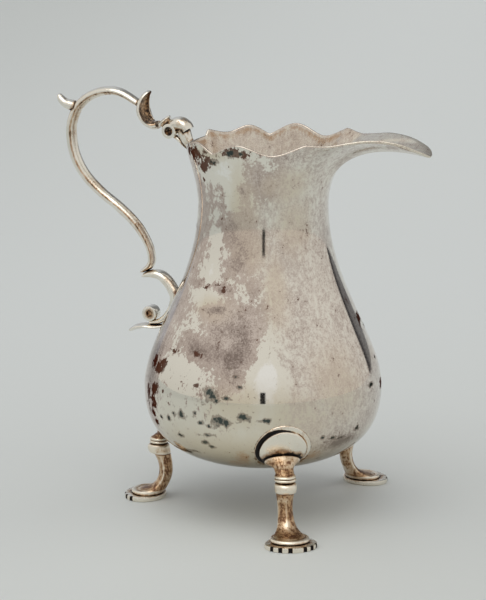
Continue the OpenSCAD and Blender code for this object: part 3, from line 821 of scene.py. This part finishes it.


# ---------- joint darkness, partly painted shade between parts ---

def add_joint_and_shade_fields(pieces):
    """Marks how close each point of a piece is to the pieces soldered to it, where tarnish gathers and where
    shade is painted between the parts.
    """
    trees, points = {}, {}
    for node, obj in pieces.items():
        points[node], corners = triangles(obj)
        trees[node] = BVHTree.FromPolygons(points[node].tolist(), corners.tolist())
    for node, obj in pieces.items():
        near = np.zeros(len(points[node]))
        for other in pieces:
            if other == node or (node.endswith("disc") and other == "body_shell"):
                continue
            reach = 0.9 * MM
            if node == "body_shell" and other.endswith("disc"):
                reach = 0.4 * MM
            elif node.endswith("disc"):
                reach = 2.6 * MM
            low, high = points[other].min(0) - reach, points[other].max(0) + reach
            close = np.all((points[node] > low) & (points[node] < high), axis=1)
            for i in np.flatnonzero(close):
                hit = trees[other].find_nearest(Vector(points[node][i]), reach)
                if hit[3] is not None:
                    near[i] = max(near[i], 1 - hit[3] / reach)
        add_field(obj, "joint_and_shade", near)


def add_hollow_field(obj, passes=4):
    """Marks where a piece's surface is hollow (towards 1) and where it is an edge (towards -1)."""
    mesh = obj.data
    co = np.array([v.co for v in mesh.vertices], float) / MM
    normal = np.array([v.normal for v in mesh.vertices], float)
    edges = np.array([e.vertices[:] for e in mesh.edges])
    a, b = edges[:, 0], edges[:, 1]
    step = co[b] - co[a]
    size = np.maximum((step ** 2).sum(1), 1e-6)
    bend = np.zeros(len(co))
    count = np.zeros(len(co))
    for end, sign in ((a, 1), (b, -1)):
        np.add.at(bend, end, sign * np.einsum("ij,ij->i", step, normal[end]) / size)
        np.add.at(count, end, 1)
    value = np.clip(bend / np.maximum(count, 1), -1.5, 1.5)
    for _ in range(passes):
        total = value.copy()
        np.add.at(total, a, value[b])
        np.add.at(total, b, value[a])
        value = total / (count + 1)
    add_field(obj, "hollow", value)


# ---------- materials ----------

class Value:
    """What a node gives, which can be added and multiplied."""

    def __init__(self, graph, socket):
        self.graph, self.socket = graph, socket

    def __add__(self, other):
        return self.graph.calculate("ADD", self, other)

    def __sub__(self, number):
        return self + -number

    def __mul__(self, other):
        return self.graph.calculate("MULTIPLY", self, other)


class Graph:
    """A tree of shader nodes, written as expressions."""

    def __init__(self, tree):
        self.tree = tree
        tree.nodes.clear()

    def put(self, socket, value):
        """Links a value to a socket, or sets it to a number, a colour or a vector."""
        if isinstance(value, Value):
            self.tree.links.new(value.socket, socket)
        elif socket.type == "RGBA":
            socket.default_value = (*value, 1)
        else:
            socket.default_value = value

    def node(self, kind, inputs=None, **settings):
        node = self.tree.nodes.new("ShaderNode" + kind)
        for name, setting in settings.items():
            setattr(node, name, setting)
        for name, value in (inputs or {}).items():
            self.put(node.inputs[name], value)
        return node

    def output(self, name, kind, inputs=None, **settings):
        """One output of a new node."""
        return Value(self, self.node(kind, inputs, **settings).outputs[name])

    def calculate(self, operation, a, b=0.0):
        return self.output(0, "Math", {0: a, 1: b}, operation=operation)

    def most(self, a, b):
        return self.calculate("MAXIMUM", a, b)

    def between(self, low, high, value):
        return self.calculate("GREATER_THAN", value, low) * self.calculate("LESS_THAN", value, high)

    def step(self, low, high, value):
        """0 below low, 1 above high and smooth between them."""
        return self.output("Result", "MapRange", {"Value": value, "From Min": low, "From Max": high},
                           interpolation_type="SMOOTHSTEP")

    def fit(self, value, low, high):
        """A value from 0 to 1 as one from low to high."""
        return self.output("Result", "MapRange", {"Value": value, "To Min": low, "To Max": high})

    def mix(self, share, a, b):
        """The colour a where share is 0, and b where it is 1."""
        return self.output("Result", "Mix", {"Factor": share, "A": a, "B": b}, data_type="RGBA")

    def split(self, vector):
        return [Value(self, part) for part in self.node("SeparateXYZ", {0: vector}).outputs]


class Material(Graph):
    """A material's nodes round one Principled shader, in the object's own coordinates."""

    def __init__(self, name):
        self.material = bpy.data.materials.new(name)
        self.material.use_nodes = True
        super().__init__(self.material.node_tree)
        self.shader = self.node("BsdfPrincipled")
        self.node("OutputMaterial", {"Surface": Value(self, self.shader.outputs[0])})
        self.where = self.output("Object", "TexCoord")

    def scaled(self, x, y, z):
        """The place on the object, stretched."""
        return self.output(0, "Mapping", {"Vector": self.where, "Scale": (x, y, z)})

    def noise(self, size, detail, rough=0.55, at=None, bend=0.0):
        """Noise from 0 to 1, with features of about size millimetres."""
        return self.output(0, "TexNoise", {
            "Vector": at or self.where, "Scale": 1 / (size * MM), "Detail": detail, "Roughness": rough,
            "Distortion": bend})

    def field(self, name):
        return self.output("Fac", "Attribute", attribute_name=name)

    def bump(self, height, distance, strength):
        return self.output(0, "Bump", {"Height": height, "Distance": distance, "Strength": strength})

    def finish(self, inputs):
        for name, value in inputs.items():
            self.put(self.shader.inputs[name], value)
        return self.material


CLEAN_SILVER = (0.865, 0.835, 0.755)
WHITE_SILVER = (0.96, 0.95, 0.92)
# Lower belly silver: a warmer tone darkened with painted shade
LOW_SILVER_WITH_SHADE = (0.77, 0.725, 0.615)
TAN_SILVER = (0.75, 0.67, 0.53)
FILM_PALE = (0.80, 0.735, 0.665)
FILM_GREY = (0.60, 0.525, 0.475)
FILM_ROSE = (0.69, 0.60, 0.545)
FILM_MAUVE = (0.51, 0.425, 0.375)
FILM_DEEP = (0.36, 0.29, 0.26)
FILM_DARK = (0.19, 0.145, 0.125)
TAN_FILM = (0.76, 0.64, 0.51)
# Underside: a tan film darkened with painted shade
UNDERSIDE_BROWN_AND_SHADE = (0.36, 0.30, 0.19)
BROWN_STAIN = (0.12, 0.052, 0.034)
RUST_BROWN = (0.50, 0.29, 0.14)
SPOT_EDGE = (0.24, 0.185, 0.145)
BLACK_STAIN = (0.04, 0.062, 0.06)
# Joint black: dark solder joints, with painted shade between the parts
JOINT_BLACK_AND_SHADE = (0.025, 0.022, 0.022)
WHITE_SHEEN, STAIN_SHEEN = (1, 1, 1), (0.25, 0.17, 0.14)


def body_material():
    """Sheet silver under a broken film of tarnish, with stains and spots on top."""
    g = Material("body_silver_tarnished")
    broad = g.noise(11, 4, 0.6) - 0.5
    upright = g.scaled(1.0, 1.0, 0.65)
    middle = g.noise(3.4, 6, 0.72, at=upright, bend=0.6) - 0.5
    small = g.noise(1.0, 4, 0.7, at=upright) - 0.5
    grain = g.noise(0.42, 3, 0.75)
    fine = g.noise(0.45, 3, 0.7) - 0.5
    crisp = middle * 1.9 + (small * 1.8 + fine * 0.8)
    _, _, up = g.split(g.where)

    # Clean silver, whitest where it was rubbed, and browner and darker towards the bottom: partly a warmer
    # tone, partly painted shade of the floor it reflects
    film = g.field("film")
    clean = g.mix(g.step(-0.25, -0.65, film + crisp * 0.4), CLEAN_SILVER, WHITE_SILVER)
    clean = g.mix(g.step(0.043, 0.030, up) * 0.6, clean, LOW_SILVER_WITH_SHADE)
    tan = g.step(0.15, 0.9, g.field("tan") + middle * 0.8)
    clean = g.mix(tan * 0.85, clean, TAN_SILVER)

    # The film: thin and finely grained on the spout's side, thicker and with torn edges elsewhere
    thin = g.field("grain")
    cover = film + (crisp + small * 0.6)
    covered = g.step(g.fit(thin, 0.47, 0.1), g.fit(thin, 0.53, 0.9), cover)
    speckle = g.step(0.34, 0.66, grain + small * 0.6)
    shade = speckle * 0.6 + (broad * 1.6 + middle * 1.4)
    thick_film = g.mix(g.step(-0.3, 0.9, shade), FILM_ROSE, FILM_MAUVE)
    thin_film = g.mix(g.step(0.0, 0.9, shade + speckle * 0.35), FILM_PALE, FILM_GREY)
    tarnish = g.mix(tan * 0.45, g.mix(thin, thick_film, thin_film), TAN_FILM)
    depth = film + (crisp * 0.6 + (grain - 0.5) * 1.6)
    tarnish = g.mix(g.step(0.95, 1.4, depth) * 0.7, tarnish, FILM_DEEP)
    tarnish = g.mix(g.step(1.4, 1.7, depth) * 0.7, tarnish, FILM_DARK)
    colour = g.mix(covered, clean, tarnish)

    # On top: specks, brown stains, nearly black spots, the brown underside (a tan film with painted shade of
    # the floor it reflects), rust and the black solder lines (dark joints with painted shade between the
    # parts)
    specks = g.step(0.63, 0.71, g.noise(0.6, 2, 0.5)) * g.step(-0.04, 0.12, middle)
    colour = g.mix(specks * 0.45, colour, FILM_DARK)
    brown = g.step(0.42, 0.52, g.field("brown") + crisp)
    colour = g.mix(brown * 0.92, colour, BROWN_STAIN)
    spots = g.field("dark") + ((g.noise(1.9, 3, 0.6) - 0.5) * 1.6 + small * 0.8)
    colour = g.mix(g.step(0.38, 0.47, spots) * 0.6, colour, SPOT_EDGE)
    dark = g.step(0.58, 0.85, spots)
    colour = g.mix(dark * 0.92, colour, BLACK_STAIN)
    # The brown underside: a tan film with painted shade of the floor it reflects
    colour = g.mix(g.step(0.028, 0.012, up) * 0.8, colour, UNDERSIDE_BROWN_AND_SHADE)
    rust = g.step(0.35, 1.0, g.field("rust") + crisp * 0.6)
    colour = g.mix(rust * 0.6, colour, RUST_BROWN)
    # The solder joints: dark tarnish, and painted shade between the parts
    joint_and_shade = g.step(0.62, 0.9, g.field("joint_and_shade") + crisp * 0.3)
    colour = g.mix(joint_and_shade, colour, JOINT_BLACK_AND_SHADE)

    stained = g.most(dark, brown)
    dull = g.most(g.most(stained, covered * 0.12), g.field("inside") * 0.7)
    return g.finish({
        "Base Color": colour,
        "Metallic": 1.0,
        "Roughness": g.fit(dull, 0.06, 0.36) + small * 0.05,
        "Specular Tint": g.mix(stained, WHITE_SHEEN, STAIN_SHEEN),
        "Normal": g.bump(middle * 0.5 + grain * 0.1, 0.00003, 0.3),
    })


def cast_material(kind, clean, warm, patch, dirt, gloss):
    """Cast silver, brown in its hollows.

    clean and warm are its colours, patch the size of the warm patches, dirt how much of it is brown, and
    gloss its least roughness."""
    g = Material(f"{kind}_silver_cast")
    broad = g.noise(patch, 4, 0.6, bend=0.5) - 0.5
    streak = g.noise(1.3, 4, 0.65, at=g.scaled(1.0, 1.0, 0.25)) - 0.5
    small = g.noise(0.4, 4, 0.75, at=g.scaled(1.0, 1.0, 0.5)) - 0.5
    crisp = broad + (streak * 1.3 + small * 1.5)
    hollow = g.field("hollow")
    # Less brown on the rubbed bead, boss and ledge, which also paints a highlight there
    kept_dirt = hollow * 0.9 + (g.field("rubbed_and_highlit") * -0.29 + dirt)
    level = crisp + kept_dirt
    soft = broad * 1.2 + kept_dirt
    colour = g.mix(g.step(-0.12, 0.25, soft), clean, warm)
    colour = g.mix(g.step(0.05, 0.5, soft) * 0.7, colour, RUST_BROWN)
    colour = g.mix(g.step(0.12, 0.34, level) * 0.7, colour, RUST_BROWN)
    # Grooves: dark tarnish in notches and recesses, with a painted shade crescent on each disc and a painted
    # reflection along the handle's bar
    tarnish_and_painted_dark = g.field("tarnish_and_painted_dark") + crisp * 0.5
    # Joints: dark tarnish, and painted shade between the parts
    joint_and_shade = g.field("joint_and_shade") + (crisp * 0.5 + hollow * 0.3)
    near = g.most(joint_and_shade, tarnish_and_painted_dark)
    colour = g.mix(g.step(0.15, 0.55, near) * 0.8, colour, RUST_BROWN)
    colour = g.mix(g.step(0.28, 0.46, level) * 0.85, colour, BROWN_STAIN)
    black = g.step(0.48, 0.72, near)
    dull = g.most(black, g.step(0.0, 0.3, level) * 0.6)
    return g.finish({
        "Base Color": g.mix(black, colour, JOINT_BLACK_AND_SHADE),
        "Metallic": 1.0,
        "Roughness": g.fit(dull, gloss, 0.45) + small * 0.1,
        "Normal": g.bump(streak * 0.6 + small * 0.5, 0.00012, 0.6),
    })


# The floor's lighter and darker tones are painted light and shade
FLOOR_NEAR, FLOOR_AWAY_LIT, FLOOR_LEFT_SHADED = (0.685, 0.71, 0.70), (0.735, 0.765, 0.775), (0.60, 0.625, 0.625)


def floor_material():
    g = Material("paper_floor")
    cloud = g.noise(500, 2, 0.5) - 0.5
    # Painted light and shade: lightest a little way behind the jug, and darker towards the far left
    x, y, _ = g.split(g.where)
    away = x * -0.4 + y * 0.92
    left = x * -0.92 + y * -0.4
    colour = g.mix(g.step(-0.3, 0.3, away + cloud * 0.3), FLOOR_NEAR, FLOOR_AWAY_LIT)
    far_left_shade = g.step(0.1, 1.7, away * 0.6 + left * 4.0)
    return g.finish({
        "Base Color": g.mix(far_left_shade, colour, FLOOR_LEFT_SHADED),
        "Roughness": g.fit(g.noise(3, 3), 0.55, 0.65),
        "Specular IOR Level": 0.2,
    })


# ---------- stage ----------

FLOOR_R, FLOOR_SIDES, FLOOR_RINGS = 4.0, 96, 24


def make_floor():
    """A pale round table that runs far enough back to fill the view."""
    a = circle(FLOOR_SIDES)
    points = [(0, 0, 0)]
    for r in np.linspace(0.02, FLOOR_R, FLOOR_RINGS):
        points += [(r * math.cos(turn), r * math.sin(turn), 0) for turn in a]
    faces = [[1 + i for i in face] for face in grid_faces(FLOOR_RINGS, FLOOR_SIDES)]
    faces += [(0, 1 + s, 1 + (s + 1) % FLOOR_SIDES) for s in range(FLOOR_SIDES)]
    mesh = bpy.data.meshes.new("floor")
    mesh.from_pydata(points, [], faces)
    mesh.materials.append(floor_material())
    floor = add_object("floor", mesh)


# The tent's walls low down and higher up, and its open gap, from its black edge to the backdrop behind it
TENT_LOW, TENT = (0.63, 0.62, 0.59), (0.705, 0.69, 0.655)
GAP_EDGE, GAP, BACKDROP = (0.035, 0.036, 0.04), (0.19, 0.195, 0.20), (0.52, 0.545, 0.575)
GAP_START, GAP_WIDTH = 62.5, 90.0
# The diffuser overhead, which spans the directions this near (as a cosine) to its own
TOP, TOP_DIRECTION, TOP_COSINES = (1.9, 1.9, 1.84), (0.0, -0.42, 0.9), (0.88, 0.93)
# The slit for the lens: its direction and half width in degrees, and its lower and upper ends
LENS, LENS_ANGLE, LENS_HALF, LENS_ENDS = (0.02, 0.02, 0.02), -66.5, 2.4, (-0.05, 0.24)
# What the camera itself sees past the table
SEEN_BACKDROP = (0.56, 0.58, 0.585)


def make_light():
    """A white tent round the jug, open behind it on one side, with a bright diffuser above."""
    world = bpy.data.worlds.new("tent")
    bpy.context.scene.world = world
    world.use_nodes = True
    g = Graph(world.node_tree)
    direction = g.output("Generated", "TexCoord")
    x, y, up = g.split(direction)
    angle = g.calculate("ARCTAN2", y, x) * (180 / math.pi)
    # Angle from the edge of the gap, from 0 to 360
    from_gap = g.calculate("MODULO", angle + (360 - GAP_START), 360)
    gap = g.mix(g.step(2.0, 9.0, from_gap), GAP_EDGE, GAP)
    gap = g.mix(g.step(20.0, 65.0, from_gap), gap, BACKDROP)
    walls = g.mix(g.step(-0.05, 0.5, up), TENT_LOW, TENT)
    colour = g.mix(g.calculate("LESS_THAN", from_gap, GAP_WIDTH), walls, gap)
    toward_top = g.output("Value", "VectorMath", {0: direction, 1: Vector(TOP_DIRECTION).normalized()},
                          operation="DOT_PRODUCT")
    colour = g.mix(g.step(*TOP_COSINES, toward_top), colour, TOP)
    off_lens = g.calculate("ABSOLUTE", angle - LENS_ANGLE)
    lens = g.calculate("LESS_THAN", off_lens, LENS_HALF) * g.between(*LENS_ENDS, up)
    colour = g.mix(lens, colour, LENS)
    seen = g.output("Is Camera Ray", "LightPath")
    colour = g.mix(seen, colour, SEEN_BACKDROP)
    background = g.output(0, "Background", {"Color": colour, "Strength": 1.0})
    g.node("OutputWorld", {"Surface": background})


LENS_MM, SENSOR_MM = 172.06, 36
CAMERA_PLACE, CAMERA_TURN = (0.29315, -0.67249, 0.2096), (78.08, 0, 23.5)


def make_camera():
    data = bpy.data.cameras.new("camera")
    data.lens = LENS_MM
    data.sensor_width = SENSOR_MM
    camera = add_object("camera", data)
    camera.location = CAMERA_PLACE
    camera.rotation_euler = [math.radians(d) for d in CAMERA_TURN]
    bpy.context.scene.camera = camera


# ---------- the jug ----------

pieces = {"body_shell": make_body()}
for leg, turn, reach in LEGS:
    turn += LEG_TURN
    pieces[f"{leg}_leg_disc"] = make_disc(turn)
    pieces[f"{leg}_leg_collar"] = make_collar(turn, reach)
    pieces[f"{leg}_leg"] = make_leg(turn, reach)
    pieces[f"{leg}_foot_pad"] = make_pad(turn, reach)
pieces.update(make_handle())
add_joint_and_shade_fields(pieces)

# Each kind of cast piece, by a word in its node's name: its slot, and its look as cast_material() takes it.
# The first word that fits counts.
CASTS = {
    "disc": ("body_silver", (0.91, 0.86, 0.76), (0.80, 0.71, 0.58), 5, -0.08, 0.18),
    "pad": ("pad_silver", (0.89, 0.835, 0.735), (0.66, 0.56, 0.44), 3, 0.19, 0.25),
    "handle": ("handle_silver", (0.90, 0.865, 0.785), (0.76, 0.67, 0.55), 7, 0.09, 0.09),
    "leg": ("leg_silver", (0.90, 0.83, 0.71), (0.72, 0.57, 0.41), 4, 0.36, 0.30),
}
kinds = {kind: (slot, cast_material(kind, *look)) for kind, (slot, *look) in CASTS.items()}
kinds["shell"] = ("body_silver", body_material())

for node, piece in pieces.items():
    slot, material = next(kinds[word] for word in kinds if word in node)
    piece.name = f"{node}_visual"
    piece.data.name = piece.name
    piece.data.materials.clear()
    piece.data.materials.append(material)
    if node != "body_shell":
        add_hollow_field(piece)
    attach(piece, "root")
    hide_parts(node)

make_floor()
make_light()
make_camera()
bpy.context.scene.view_settings.view_transform = "Standard"
